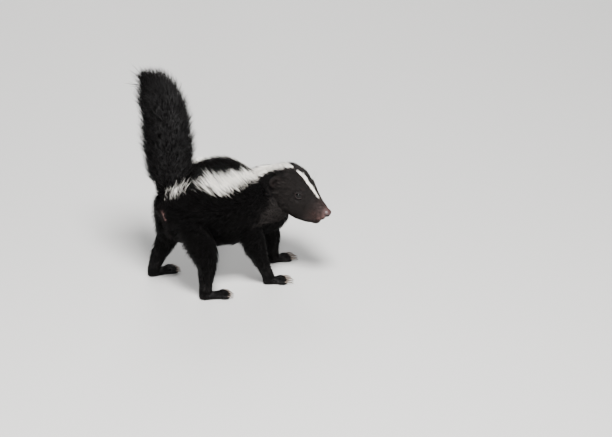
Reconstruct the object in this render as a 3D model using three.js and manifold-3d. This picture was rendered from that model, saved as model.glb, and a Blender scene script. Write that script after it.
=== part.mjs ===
import * as THREE from "three";
import Module from "manifold-3d";

const wasm = await Module();
wasm.setup();

// Sizes in mm. X runs from rump to chest, Y to the animal's left, Z up from the floor.
const GAP = 0.3;
const TORSO_SIDES = 24;
const HEAD_SIDES = 22;
const LEG_SIDES = 10;
const TAIL_SIDES = 12;
const EAR_WIDE = 5.0;
const EAR_TALL = 6.0;
const EAR_WALL = 1.1;
const EYE_RADIUS = 4.0;
const TOES = 5;
const HIND_CLAW = 4.2;
const FRONT_CLAW = 7.0;
const LIP_GROOVE = 0.6;
const LIP_DEPTH = 1.3;
const TAIL_CORE = 0.42;
const TAIL_TIERS = 9;
const TAIL_LOCKS = 8;
const COAT_DEPTH = 4;
const BACK_TIERS = 7;
const BACK_LOCKS = 8;
const LOCK_THICK = 1.5;

// The head turns to the animal's right and points down.
const HEAD_TURN = THREE.MathUtils.degToRad(-47);
const HEAD_DIP = THREE.MathUtils.degToRad(24);
const NOSE_TIP = new THREE.Vector3(94, -44, 73);

// A lock's taper: place along it, share of its width and of its thickness.
const LOCK_TAPER = [
  [0, 0.75, 1],
  [0.4, 1, 1],
  [0.75, 0.72, 0.7],
];

// Rows of a form: centre x, y, z, then half width, reach above and reach below.
const TORSO = [
  [-57.5, 0, 76, 7, 9, 10],
  [-53, 0, 77, 17, 20, 22],
  [-38, 0, 79, 27, 32, 33],
  [-15, 0, 80, 33, 38, 40],
  [10, 0, 78, 36, 42, 41],
  [30, 0, 75.5, 33, 33.5, 38],
  [46, 0, 70, 28, 27, 32],
  [59, 0, 63, 20, 20, 23],
  [66, 0, 60, 9, 9, 10],
];
const NECK = [
  [24, 0, 80, 20, 18, 24],
  [34, 0, 82, 24, 20.5, 27],
  [45, 0, 86, 23, 20, 25],
  [54, -3, 90, 20.5, 18.5, 22],
  [62, -11, 92, 18, 16, 19],
  [68, -17, 92, 12, 11, 12],
];
// Along the head: place ahead of the nose tip, reach above, reach below, half width.
const HEAD = [
  [-70, 5, -16, 11],
  [-64, 11.5, -20.5, 17],
  [-54, 18.8, -21.5, 20],
  [-42, 20.8, -22, 19.5],
  [-31, 16.3, -22, 16.6],
  [-21, 11, -21, 12.4],
  [-13, 7.4, -18.6, 9],
  [-7.5, 5.2, -13, 6.6],
  [-3.5, 3.4, -8, 4.6],
];
const TAIL = [
  [-43, 0, 88, 9, 9, 9],
  [-46, 0, 100, 13, 13, 13],
  [-47, 0, 115, 17.5, 17, 17],
  [-48, 0, 144, 22, 20, 21],
  [-50, 0, 170, 21.5, 20, 21],
  [-54, 0, 192, 19.5, 18, 19],
  [-61, 0, 210, 14.5, 13, 14],
  [-70, 0, 222, 6, 6, 6],
];

// A closed solid from points and triangles, turned to face out.
function solidOf(points, faces) {
  let volume = 0;
  for (let i = 0; i < faces.length; i += 3) {
    const [a, b, c] = [points[faces[i]], points[faces[i + 1]], points[faces[i + 2]]];
    volume += a.dot(b.clone().cross(c));
  }
  const turned = volume < 0 ? faces.slice().reverse() : faces;
  const mesh = new wasm.Mesh({
    numProp: 3,
    vertProperties: new Float32Array(points.flatMap((p) => [p.x, p.y, p.z])),
    triVerts: new Uint32Array(turned),
  });
  return new wasm.Manifold(mesh);
}

// Skins a run of rings, each with the same number of points, and closes it on a point at both ends.
function skin(rings, first, last) {
  const sides = rings[0].length;
  const points = [first, ...rings.flat(), last];
  const at = (ring, side) => 1 + ring * sides + (side % sides);
  const faces = [];
  for (let side = 0; side < sides; side += 1) {
    faces.push(0, at(0, side + 1), at(0, side));
    for (let ring = 0; ring + 1 < rings.length; ring += 1) {
      const [a, b] = [at(ring, side), at(ring, side + 1)];
      const [c, d] = [at(ring + 1, side + 1), at(ring + 1, side)];
      faces.push(a, b, c, a, c, d);
    }
    faces.push(at(rings.length - 1, side), at(rings.length - 1, side + 1), points.length - 1);
  }
  return solidOf(points, faces);
}

// One oval ring: its widths to the side, above and below may differ.
function oval(centre, side, up, half, above, below, sides) {
  const ring = [];
  for (let i = 0; i < sides; i += 1) {
    const angle = (2 * Math.PI * i) / sides;
    const reach = Math.sin(angle) > 0 ? above : below;
    ring.push(
      centre
        .clone()
        .addScaledVector(side, half * Math.cos(angle))
        .addScaledVector(up, reach * Math.sin(angle)),
    );
  }
  return ring;
}

// The line that a bent form follows, with its frame and sizes at each place from 0 to 1.
function course(rows, ahead) {
  const line = new THREE.CatmullRomCurve3(rows.map((r) => new THREE.Vector3(r[0], r[1], r[2])));
  const size = new THREE.CatmullRomCurve3(rows.map((r) => new THREE.Vector3(r[3], r[4], r[5])));
  return (t) => {
    const inside = THREE.MathUtils.clamp(t, 0, 1);
    const tangent = line.getTangent(inside);
    const side = tangent.clone().cross(ahead).normalize();
    const up = side.clone().cross(tangent);
    const past = (t - inside) * line.getLength();
    const centre = line.getPoint(inside).addScaledVector(tangent, past);
    return { centre, tangent, side, up, size: size.getPoint(inside) };
  };
}

// A smooth form along a bent line; fit turns a row's half width and reaches into the ones built.
function form(rows, steps, sides, ahead, grow = 0, fit = (size) => size) {
  const at = course(rows, ahead);
  const rings = [];
  const ends = [];
  for (let i = 0; i <= steps; i += 1) {
    const { centre, tangent, side, up, size } = at(i / steps);
    const s = fit(size).addScalar(grow);
    rings.push(oval(centre, side, up, s.x, s.y, s.z, sides));
    if (i === 0 || i === steps) {
      ends.push(centre.clone().addScaledVector(tangent, (i === 0 ? -1 : 1) * 0.4 * s.x));
    }
  }
  return skin(rings, ends[0], ends[1]);
}

// A seeded draw between two numbers.
let seed = 20617;
function draw(low, high) {
  seed = (seed * 1664525 + 1013904223) % 4294967296;
  return low + ((high - low) * seed) / 4294967296;
}

// A flat lock of hair that bends from its root to a fine tip.
function lock(root, bend, tip, out, wide) {
  const line = new THREE.QuadraticBezierCurve3(root, bend, tip);
  const rings = LOCK_TAPER.map(([t, breadth, depth]) => {
    const along = line.getTangent(t);
    const side = along.clone().cross(out).normalize();
    const lift = side.clone().cross(along).normalize();
    const half = (LOCK_THICK * depth) / 2;
    return oval(line.getPoint(t), side, lift, (wide * breadth) / 2, half, half, 4);
  });
  const start = root.clone().addScaledVector(line.getTangent(0), -0.6);
  return skin(rings, start, tip);
}

// An ellipsoid about a point, with its half sizes along three given directions.
function ellipsoid(centre, axes, halves, sides, steps) {
  const rings = [];
  for (let i = 1; i < steps; i += 1) {
    const angle = (Math.PI * i) / steps;
    const at = centre.clone().addScaledVector(axes[0], -halves[0] * Math.cos(angle));
    const r = Math.sin(angle);
    rings.push(oval(at, axes[1], axes[2], r * halves[1], r * halves[2], r * halves[2], sides));
  }
  const first = centre.clone().addScaledVector(axes[0], -halves[0]);
  const last = centre.clone().addScaledVector(axes[0], halves[0]);
  return skin(rings, first, last);
}

function join(solids) {
  return solids.slice(1).reduce((whole, next) => whole.add(next), solids[0]);
}

function largest(solid) {
  const pieces = solid.decompose();
  return pieces.reduce((best, next) => (next.volume() > best.volume() ? next : best));
}

const UP = new THREE.Vector3(0, 0, 1);
const FORWARD = new THREE.Vector3(1, 0, 0);
const AHEAD = new THREE.Vector3(
  Math.cos(HEAD_DIP) * Math.cos(HEAD_TURN),
  Math.cos(HEAD_DIP) * Math.sin(HEAD_TURN),
  -Math.sin(HEAD_DIP),
);
const CROWN = new THREE.Vector3(
  Math.sin(HEAD_DIP) * Math.cos(HEAD_TURN),
  Math.sin(HEAD_DIP) * Math.sin(HEAD_TURN),
  Math.cos(HEAD_DIP),
);
const RIGHT = AHEAD.clone().cross(CROWN);

// A point of the head: distance ahead of the nose tip, height and distance to the right.
function headPoint(along, height, right) {
  return NOSE_TIP.clone()
    .addScaledVector(AHEAD, along)
    .addScaledVector(CROWN, height)
    .addScaledVector(RIGHT, right);
}

function headForm(grow = 0) {
  const line = new THREE.CatmullRomCurve3(
    HEAD.map((r) => new THREE.Vector3(r[0], (r[1] + r[2]) / 2, 0)),
  );
  const size = new THREE.CatmullRomCurve3(
    HEAD.map((r) => new THREE.Vector3(r[3], (r[1] - r[2]) / 2, 0)),
  );
  const steps = 18;
  const rings = [];
  for (let i = 0; i <= steps; i += 1) {
    const c = line.getPoint(i / steps);
    const s = size.getPoint(i / steps);
    const centre = headPoint(c.x, c.y, 0);
    rings.push(oval(centre, RIGHT, CROWN, s.x + grow, s.y + grow, s.y + grow, HEAD_SIDES));
  }
  return skin(rings, headPoint(-74 - grow, -6, 0), headPoint(-1.6 + grow, -3.2, 0));
}

// The nose pad, broad and rounded, standing a little ahead of the muzzle.
function nosePad(grow = 0) {
  const halves = [3.6 + grow, 4.6 + grow, 3.5 + grow];
  return ellipsoid(headPoint(-3.6, -0.2, 0), [AHEAD, RIGHT, CROWN], halves, 16, 8);
}

function nostrils() {
  return [-1, 1].map((hand) => {
    const out = RIGHT.clone().multiplyScalar(hand);
    const axis = AHEAD.clone().addScaledVector(out, 0.9).normalize();
    const side = axis.clone().cross(CROWN).normalize();
    const top = side.clone().cross(axis);
    return ellipsoid(headPoint(-1.2, -0.9, 2.6 * hand), [axis, side, top], [1.8, 1.0, 0.8], 8, 6);
  });
}

// The line between the lips: a curved blade that bites a little way into the muzzle.
function mouthLine() {
  const rings = [];
  const steps = 8;
  for (let i = 0; i <= steps; i += 1) {
    const along = -24 + (28 * i) / steps;
    const height = -12.4 + 0.03 * (along + 20) ** 2;
    const drop = LIP_GROOVE / 2;
    rings.push([
      headPoint(along, height + drop, -24),
      headPoint(along, height + drop, 24),
      headPoint(along, height - drop, 24),
      headPoint(along, height - drop, -24),
    ]);
  }
  const blade = skin(rings, headPoint(-24.3, -12, 0), headPoint(4.3, 5, 0));
  return blade.subtract(headForm(-LIP_DEPTH));
}

// Lids: a low oval rim around each eye.
function lids(hand) {
  const { centre, out, along, tall } = eyeFrame(hand);
  const rings = [];
  const steps = 12;
  const sides = 5;
  const points = [];
  const faces = [];
  for (let i = 0; i < steps; i += 1) {
    const angle = (2 * Math.PI * i) / steps;
    const radial = along
      .clone()
      .multiplyScalar(3.4 * Math.cos(angle))
      .addScaledVector(tall, 2.7 * Math.sin(angle));
    const lift = EYE_RADIUS * 0.8;
    const middle = centre.clone().add(radial).addScaledVector(out, lift);
    rings.push(oval(middle, radial.clone().normalize(), out, 0.8, 0.7, 1.6, sides));
  }
  points.push(...rings.flat());
  for (let i = 0; i < steps; i += 1) {
    for (let k = 0; k < sides; k += 1) {
      const a = i * sides + k;
      const b = i * sides + ((k + 1) % sides);
      const c = ((i + 1) % steps) * sides + ((k + 1) % sides);
      const d = ((i + 1) % steps) * sides + k;
      faces.push(a, b, c, a, c, d);
    }
  }
  return solidOf(points, faces);
}

function eyeFrame(hand) {
  const out = RIGHT.clone().multiplyScalar(0.9 * hand).addScaledVector(AHEAD, 0.38);
  out.addScaledVector(CROWN, 0.2).normalize();
  const along = CROWN.clone().cross(out).normalize();
  const tall = out.clone().cross(along);
  return { centre: headPoint(-32.6, 6.8, 10.9 * hand), out, along, tall };
}

function eye(hand, grow = 0) {
  const { centre, out, along, tall } = eyeFrame(hand);
  const r = EYE_RADIUS + grow;
  return ellipsoid(centre, [out, along, tall], [r, r, r], 12, 9);
}

// An ear is a round cup, its root sunk in the side of the head.
function ear(hand, grow = 0, hollow = true) {
  const out = RIGHT.clone().multiplyScalar(hand).addScaledVector(AHEAD, 0.55);
  out.addScaledVector(CROWN, 0.1).normalize();
  const wide = CROWN.clone().cross(out).normalize();
  const tall = out.clone().cross(wide);
  const centre = headPoint(-57.5, 8.5, 18.2 * hand);
  const halves = [3.4 + grow, EAR_WIDE + grow, EAR_TALL + grow];
  const shell = ellipsoid(centre, [out, wide, tall], halves, 12, 7);
  if (!hollow) {
    return shell;
  }
  const mouth = centre.clone().addScaledVector(out, 1.9);
  const inner = [3.2, EAR_WIDE - EAR_WALL, EAR_TALL - EAR_WALL];
  return shell.subtract(ellipsoid(mouth, [out, wide, tall], inner, 12, 7));
}

// A leg is a bent column; its rows run from the hip or shoulder down to the sole.
function limb(rows, grow = 0) {
  return form(rows, 9, LEG_SIDES, FORWARD, grow);
}

// A flat-soled foot with five toes and a claw on each, pointing along a heading.
function foot(heel, heading, long, wide, claw) {
  const ahead = new THREE.Vector3(Math.cos(heading), Math.sin(heading), 0);
  const side = new THREE.Vector3(Math.sin(heading), -Math.cos(heading), 0);
  const place = (along, across, height) =>
    heel.clone().addScaledVector(ahead, along).addScaledVector(side, across).setZ(height);
  const rows = [
    [0, 0.5],
    [0.15, 0.8],
    [0.5, 0.85],
    [0.8, 1],
    [0.95, 0.8],
  ];
  const rings = rows.map(([along, breadth]) => {
    const height = 4.6 - 2.2 * along;
    return oval(place(long * along, 0, height * 0.8), side, UP, wide * breadth, height, 6, 10);
  });
  const solids = [skin(rings, place(-0.08 * long, 0, 3), place(long, 0, 2))];
  for (let i = 0; i < TOES; i += 1) {
    const across = (i - (TOES - 1) / 2) / ((TOES - 1) / 2);
    const reach = long * (1.02 - 0.09 * across * across);
    const base = place(reach - 5.5, across * wide * 0.8, 2.4);
    const tip = place(reach + 1.5, across * wide * 0.98, 1.9);
    const line = tip.clone().sub(base);
    const axis = line.clone().normalize();
    const middle = base.clone().addScaledVector(line, 0.5);
    solids.push(
      ellipsoid(middle, [axis, side, UP], [0.5 * line.length() + 1.4, 1.75, 2.4], 6, 4),
    );
    solids.push(clawOf(place(reach, across * wide * 0.95, 2.6), ahead, side, claw));
  }
  return join(solids);
}

// A curved, tapering claw that reaches ahead and down.
function clawOf(root, ahead, side, long) {
  const steps = 3;
  const rings = [];
  for (let i = 0; i < steps; i += 1) {
    const t = i / steps;
    const at = root
      .clone()
      .addScaledVector(ahead, (long + 1.6) * Math.sin(1.1 * t))
      .setZ(root.z + 1.3 * t - 3.0 * t * t);
    rings.push(oval(at, side, UP, 0.75 * (1 - 0.7 * t), 1.0 * (1 - 0.7 * t), 0.8 * (1 - 0.7 * t), 4));
  }
  const tip = root.clone().addScaledVector(ahead, long + 1.6).setZ(0.5);
  return skin(rings, root.clone().addScaledVector(ahead, -0.8), tip);
}

const LEGS = {
  leg_hind_right: {
    rows: [
      [-27, -17, 84, 9, 12, 11],
      [-26, -22, 70, 12, 15, 14],
      [-23, -26, 52, 11, 13, 12],
      [-20, -27.5, 36, 8.5, 9.5, 9],
      [-20.5, -28, 20, 6.2, 7, 6.8],
      [-21.5, -28, 8, 5.6, 6.5, 6],
      [-22, -28, 3, 5, 6, 5],
    ],
    heel: new THREE.Vector3(-27, -28, 0),
    heading: -0.1,
    long: 26,
    wide: 7.2,
    claw: HIND_CLAW,
  },
  leg_hind_left: {
    rows: [
      [-33, 17, 82, 9, 12, 12],
      [-35, 22, 68, 12, 15, 15],
      [-36, 26, 52, 11, 13, 13],
      [-39, 28, 37, 8.8, 10, 10],
      [-46, 29, 22, 6.6, 7.4, 7.4],
      [-51.5, 29, 9, 5.6, 6.5, 6],
      [-52, 29, 3, 5, 6, 5],
    ],
    heel: new THREE.Vector3(-57, 29, 0),
    heading: 0.12,
    long: 26,
    wide: 7.2,
    claw: HIND_CLAW,
  },
  leg_front_right: {
    rows: [
      [26, -15, 76, 9, 11, 11],
      [26, -20, 62, 11, 13, 13],
      [28, -21.5, 46, 9, 11, 10.5],
      [33, -21, 30, 6.6, 8, 7.6],
      [38.5, -20.5, 16, 5.4, 6.2, 6],
      [42, -20, 7, 5.2, 6, 5.6],
      [42.5, -20, 3, 5, 5.6, 5],
    ],
    heel: new THREE.Vector3(37, -20, 0),
    heading: -0.15,
    long: 20,
    wide: 6.6,
    claw: FRONT_CLAW,
  },
  leg_front_left: {
    rows: [
      [40, 12, 72, 9, 11, 11],
      [46, 16, 58, 10.5, 14, 12],
      [53, 17.5, 44, 8.8, 12, 10.5],
      [58, 17, 29, 6.6, 8.6, 8],
      [59, 16.5, 15, 5.4, 6.6, 6.4],
      [59.5, 16, 7, 5.2, 5.8, 5.6],
      [60, 16, 3, 5, 5.6, 5],
    ],
    heel: new THREE.Vector3(55, 16, 0),
    heading: 0.05,
    long: 20,
    wide: 6.6,
    claw: FRONT_CLAW,
  },
};

const floorBox = wasm.Manifold.cube([400, 400, 40], true).translate([0, 0, -20]);
const solids = {};

for (const [name, leg] of Object.entries(LEGS)) {
  const paw = foot(leg.heel, leg.heading, leg.long, leg.wide, leg.claw);
  solids[name] = largest(limb(leg.rows).add(paw).subtract(floorBox));
}

// The torso's coat: tiers of long locks over the back and flanks, lying towards the rump.
const BACKWARD = FORWARD.clone().negate();
const coreFit = (size) =>
  new THREE.Vector3(size.x - 0.75 * COAT_DEPTH, size.y - COAT_DEPTH, size.z - 0.2 * COAT_DEPTH);

function torsoPoint(at, t, angle, sink) {
  const { centre, side, up, size } = at(t);
  const reach = Math.sin(angle) > 0 ? size.y : size.z;
  const across = side.clone().multiplyScalar(Math.cos(angle));
  const rise = up.clone().multiplyScalar(Math.sin(angle));
  const out = across.clone().add(rise);
  const point = centre.clone().addScaledVector(across, size.x).addScaledVector(rise, reach);
  return { point: point.addScaledVector(out, -sink), out };
}

function backLocks() {
  const at = course(TORSO, UP);
  const locks = [];
  for (let tier = 0; tier < BACK_TIERS; tier += 1) {
    const t = 0.24 + (0.6 * tier) / (BACK_TIERS - 1);
    for (let i = 0; i < BACK_LOCKS; i += 1) {
      const share = (i + 0.25 + 0.5 * (tier % 2)) / BACK_LOCKS;
      const angle = THREE.MathUtils.lerp(-0.1, Math.PI + 0.1, share) + draw(-0.07, 0.07);
      const long = draw(0.17, 0.21);
      const fall = Math.cos(angle) > 0 ? -1 : 1;
      const droop = fall * draw(0.1, 0.2) * Math.abs(Math.cos(angle));
      const place = t + draw(-0.012, 0.012);
      const root = torsoPoint(at, place, angle, COAT_DEPTH + 2.4);
      const bend = torsoPoint(at, place - 0.5 * long, angle + 0.5 * droop, -0.8);
      const tip = torsoPoint(at, place - long, angle + droop, draw(-1.4, 0.2));
      locks.push(lock(root.point, bend.point, tip.point, root.out, draw(9.5, 12.5)));
    }
  }
  return join(locks);
}

// The tail's brush: tiers of locks that rise from the core and flare up to the outline.
function brushPoint(at, t, angle, share) {
  const { centre, side, up, size, tangent } = at(t);
  const out = side.clone().multiplyScalar(Math.cos(angle)).addScaledVector(up, Math.sin(angle));
  return { point: centre.clone().addScaledVector(out, share * size.x), out, tangent };
}

function brushLocks() {
  const at = course(TAIL, BACKWARD);
  const locks = [];
  for (let tier = 0; tier < TAIL_TIERS; tier += 1) {
    const t = 0.19 + (0.63 * tier) / (TAIL_TIERS - 1);
    const count = tier > TAIL_TIERS - 3 ? TAIL_LOCKS - 3 : TAIL_LOCKS;
    for (let i = 0; i < count; i += 1) {
      const angle = (2 * Math.PI * (i + 0.5 * (tier % 2))) / count + draw(-0.15, 0.15);
      const long = draw(0.17, 0.23);
      const low = tier < 3 ? 0.94 : 1.08;
      const end = Math.min(t + long, 0.99 + draw(0, 0.03));
      const root = brushPoint(at, t, angle, 0.2);
      const bend = brushPoint(at, t + 0.45 * (end - t), angle + draw(-0.1, 0.1), 0.9);
      const tip = brushPoint(at, end, angle + draw(-0.2, 0.2), draw(0.92, low));
      locks.push(lock(root.point, bend.point, tip.point, root.out, draw(8.5, 11)));
    }
  }
  const { centre, tangent } = at(0.84);
  const top = at(1).centre.clone().addScaledVector(tangent, 2.5);
  const out = FORWARD.clone().addScaledVector(UP, 0.4);
  locks.push(lock(centre, centre.clone().lerp(top, 0.5), top, out, 8));
  return join(locks);
}

const torsoCore = form(TORSO, 18, TORSO_SIDES, UP, 0, coreFit);
const torsoClear = form(TORSO, 18, TORSO_SIDES, UP, GAP, coreFit);
const neck = form(NECK, 10, 24, UP);
const tailForm = (grow = 0) => form(TAIL, 14, 20, BACKWARD, grow);
const tailCore = (grow = 0) =>
  form(TAIL, 14, TAIL_SIDES, BACKWARD, grow, (size) => size.clone().multiplyScalar(TAIL_CORE));

const sockets = Object.values(LEGS).map((leg) => limb(leg.rows, GAP));
const neighbours = join([...sockets, headForm(GAP), form(NECK, 10, 24, UP, GAP)]);
const backCoat = backLocks().subtract(neighbours).subtract(tailForm(0.6));
const cuts = join([...sockets, tailCore(GAP), headForm(GAP)]);
solids.torso = largest(torsoCore.subtract(cuts).add(backCoat));
solids.tail = largest(tailCore().add(brushLocks().subtract(form(TORSO, 18, 24, UP, GAP))));

const pads = [-1, 1].map((hand) =>
  ellipsoid(headPoint(-10.5, -5.2, 4.4 * hand), [AHEAD, RIGHT, CROWN], [6.5, 4.6, 5], 10, 6),
);
const cheeks = [lids(-1), lids(1), ...pads];
const holes = [nosePad(GAP), eye(-1, GAP), eye(1, GAP), ear(-1, GAP, false), ear(1, GAP, false)];
solids.head = largest(join([headForm(), ...cheeks]).subtract(join(holes)).subtract(mouthLine()));
solids.nose = largest(nosePad().subtract(join(nostrils())));
solids.neck = largest(neck.subtract(torsoClear).subtract(headForm(GAP)));
solids.ear_right = largest(ear(1));
solids.ear_left = largest(ear(-1));
solids.eye_right = eye(1);
solids.eye_left = eye(-1);

// Look of each node: colour, roughness and metalness.
const LOOKS = {
  coat: [0x17130f, 0.85],
  ear: [0x1c1512, 0.8],
  eye: [0x050404, 0.08],
  nose: [0x4a2c2a, 0.45],
};

function lookOf(name) {
  const kind = Object.keys(LOOKS).find((key) => name.startsWith(key)) ?? "coat";
  const [color, roughness] = LOOKS[kind];
  return new THREE.MeshStandardMaterial({ color, roughness, metalness: 0 });
}

function geometryOf(solid) {
  const mesh = solid.getMesh();
  const geometry = new THREE.BufferGeometry();
  const wide = mesh.numProp;
  const positions = new Float32Array((mesh.vertProperties.length / wide) * 3);
  for (let i = 0; i < positions.length / 3; i += 1) {
    positions.set(mesh.vertProperties.subarray(i * wide, i * wide + 3), i * 3);
  }
  geometry.setAttribute("position", new THREE.BufferAttribute(positions, 3));
  geometry.setIndex(new THREE.BufferAttribute(new Uint32Array(mesh.triVerts), 1));
  return geometry;
}

const skunk = new THREE.Group();
skunk.name = "striped_skunk";
for (const [name, solid] of Object.entries(solids)) {
  const mesh = new THREE.Mesh(geometryOf(solid), lookOf(name));
  mesh.name = name;
  skunk.add(mesh);
}

// The origin is the middle of the footprint, on the floor.
const box = new THREE.Box3().setFromObject(skunk);
const middle = box.getCenter(new THREE.Vector3());
for (const mesh of skunk.children) {
  mesh.geometry.translate(-middle.x, -middle.y, 0);
}

export default skunk;
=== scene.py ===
import math

import bpy
import bmesh
import numpy as np
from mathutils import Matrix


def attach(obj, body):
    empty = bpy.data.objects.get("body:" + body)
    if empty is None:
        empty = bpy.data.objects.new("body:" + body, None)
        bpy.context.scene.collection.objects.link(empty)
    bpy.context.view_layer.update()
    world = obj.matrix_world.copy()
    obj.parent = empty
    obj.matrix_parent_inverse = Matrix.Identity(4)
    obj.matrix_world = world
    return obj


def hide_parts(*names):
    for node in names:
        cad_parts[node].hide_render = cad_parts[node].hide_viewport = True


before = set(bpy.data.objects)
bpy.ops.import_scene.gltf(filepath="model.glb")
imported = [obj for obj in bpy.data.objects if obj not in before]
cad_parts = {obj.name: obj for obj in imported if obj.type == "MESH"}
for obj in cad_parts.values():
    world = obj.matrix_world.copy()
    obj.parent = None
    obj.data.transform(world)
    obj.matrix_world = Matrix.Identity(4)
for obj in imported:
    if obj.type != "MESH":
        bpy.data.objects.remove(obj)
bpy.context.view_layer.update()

# --- Camera -------------------------------------------------------------------------------------
# A long lens on the animal's right and a little behind it, upright and looking down 28 degrees, as
# in the photo. Lengths are in mm in the body's own frame until they reach a mesh, and SHIFT carries
# that frame to the model's, whose origin is the middle of the footprint.
SHIFT = np.array([-9.7858, 2.6378, 0.0])
LOOK_AZIMUTH, LOOK_HEIGHT, LOOK_FROM = math.radians(-20), math.radians(28), 4500.0
AIM = np.array([76.0, -27.6, 64.2])
PX_PER_MM = 1.1
SENSOR_WIDTH, FRAME_WIDTH_PX = 36.0, 612

towards_camera = np.array([
    math.sin(LOOK_AZIMUTH) * math.cos(LOOK_HEIGHT),
    -math.cos(LOOK_AZIMUTH) * math.cos(LOOK_HEIGHT),
    math.sin(LOOK_HEIGHT),
])
camera_data = bpy.data.cameras.new("camera")
camera_data.sensor_width = SENSOR_WIDTH
camera_data.lens = SENSOR_WIDTH * PX_PER_MM * LOOK_FROM / FRAME_WIDTH_PX
camera = bpy.data.objects.new("camera", camera_data)
bpy.context.scene.collection.objects.link(camera)
camera.location = (AIM + SHIFT + LOOK_FROM * towards_camera) / 1000
camera.rotation_euler = (math.pi / 2 - LOOK_HEIGHT, 0, LOOK_AZIMUTH)
bpy.context.scene.camera = camera

# --- Body forms ---------------------------------------------------------------------------------
# The animal is a run of ovals along bent lines. Each row is a place on the line, then half width,
# reach above and reach below, to the outside of the coat. The skin is the same form drawn in by the
# coat's depth.
TORSO = np.array([
    [-57.5, 0, 76, 7, 9, 10],
    [-53, 0, 77, 17, 20, 22],
    [-38, 0, 79, 27, 32, 33],
    [-15, 0, 80, 33, 38, 40],
    [10, 0, 78, 36, 42, 41],
    [30, 0, 75.5, 33, 33.5, 38],
    [46, 0, 70, 28, 27, 32],
    [59, 0, 63, 20, 20, 23],
    [66, 0, 60, 9, 9, 10],
], float)
NECK = np.array([
    [24, 0, 80, 20, 18, 24],
    [34, 0, 82, 24, 20.5, 27],
    [45, 0, 86, 23, 20, 25],
    [54, -3, 90, 20.5, 18.5, 22],
    [62, -11, 92, 18, 16, 19],
    [68, -17, 92, 12, 11, 12],
], float)
TAIL = np.array([
    [-43, 0, 88, 9, 9, 9],
    [-46, 0, 100, 13, 13, 13],
    [-47, 0, 115, 17.5, 17, 17],
    [-48, 0, 144, 22, 20, 21],
    [-50, 0, 170, 21.5, 20, 21],
    [-54, 0, 192, 19.5, 18, 19],
    [-61, 0, 210, 14.5, 13, 14],
    [-70, 0, 222, 6, 6, 6],
], float)
LEGS = {
    "hind_right": np.array([
        [-27, -17, 84, 9, 12, 11],
        [-26, -22, 70, 12, 15, 14],
        [-23, -26, 52, 11, 13, 12],
        [-20, -27.5, 36, 8.5, 9.5, 9],
        [-20.5, -28, 20, 6.2, 7, 6.8],
        [-21.5, -28, 8, 5.6, 6.5, 6],
        [-22, -28, 3, 5, 6, 5],
    ], float),
    "hind_left": np.array([
        [-33, 17, 82, 9, 12, 12],
        [-35, 22, 68, 12, 15, 15],
        [-36, 26, 52, 11, 13, 13],
        [-39, 28, 37, 8.8, 10, 10],
        [-46, 29, 22, 6.6, 7.4, 7.4],
        [-51.5, 29, 9, 5.6, 6.5, 6],
        [-52, 29, 3, 5, 6, 5],
    ], float),
    "front_right": np.array([
        [26, -15, 76, 9, 11, 11],
        [26, -20, 62, 11, 13, 13],
        [28, -21.5, 46, 9, 11, 10.5],
        [33, -21, 30, 6.6, 8, 7.6],
        [38.5, -20.5, 16, 5.4, 6.2, 6],
        [42, -20, 7, 5.2, 6, 5.6],
        [42.5, -20, 3, 5, 5.6, 5],
    ], float),
    "front_left": np.array([
        [40, 12, 72, 9, 11, 11],
        [46, 16, 58, 10.5, 14, 12],
        [53, 17.5, 44, 8.8, 12, 10.5],
        [58, 17, 29, 6.6, 8.6, 8],
        [59, 16.5, 15, 5.4, 6.6, 6.4],
        [59.5, 16, 7, 5.2, 5.8, 5.6],
        [60, 16, 3, 5, 5.6, 5],
    ], float),
}
# Of each foot: its heel, its heading in radians, length, half width and length of claw.
FEET = {
    "hind_right": ((-27, -28), -0.1, 26, 7.2, 4.2),
    "hind_left": ((-57, 29), 0.12, 26, 7.2, 4.2),
    "front_right": ((37, -20), -0.15, 20, 6.6, 7.0),
    "front_left": ((55, 16), 0.05, 20, 6.6, 7.0),
}
# Along the head: place ahead of the nose tip, reach above, reach below, half width, coat depth.
HEAD = np.array([
    [-70, 5, -16, 11, 3.5],
    [-64, 11.5, -20.5, 17, 3.5],
    [-54, 18.8, -21.5, 20, 3.0],
    [-42, 20.8, -22, 19.5, 2.3],
    [-31, 16.3, -23.6, 16.6, 1.6],
    [-21, 11, -22.4, 12.4, 1.1],
    [-13, 7.4, -19.2, 9, 0.8],
    [-7.5, 5.2, -13, 6.6, 0.6],
    [-3.5, 3.4, -8, 4.6, 0.5],
], float)
HEAD_TURN, HEAD_DIP = math.radians(-47), math.radians(24)
NOSE_TIP = np.array([94.0, -44.0, 73.0])
# Directions in the body, and the head's own: ahead, to the crown and to the right.
UP = np.array([0.0, 0.0, 1.0])
FORWARD = np.array([1.0, 0.0, 0.0])
AHEAD = np.array([
    math.cos(HEAD_DIP) * math.cos(HEAD_TURN),
    math.cos(HEAD_DIP) * math.sin(HEAD_TURN),
    -math.sin(HEAD_DIP),
])
CROWN = np.array([
    math.sin(HEAD_DIP) * math.cos(HEAD_TURN),
    math.sin(HEAD_DIP) * math.sin(HEAD_TURN),
    math.cos(HEAD_DIP),
])
RIGHT = np.cross(AHEAD, CROWN)
HEAD_AXES = (AHEAD, RIGHT, CROWN)


def unit(v):
    """Each row divided by its own length."""
    return v / np.maximum(np.linalg.norm(v, axis=-1, keepdims=True), 1e-9)


def smooth(low, high, x):
    """A smooth step from 0 at low to 1 at high, 3x^2 - 2x^3 on the share of the way; it falls where
    low is the larger."""
    x = np.clip((x - low) / (high - low), 0, 1)
    return x * x * (3 - 2 * x)


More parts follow.
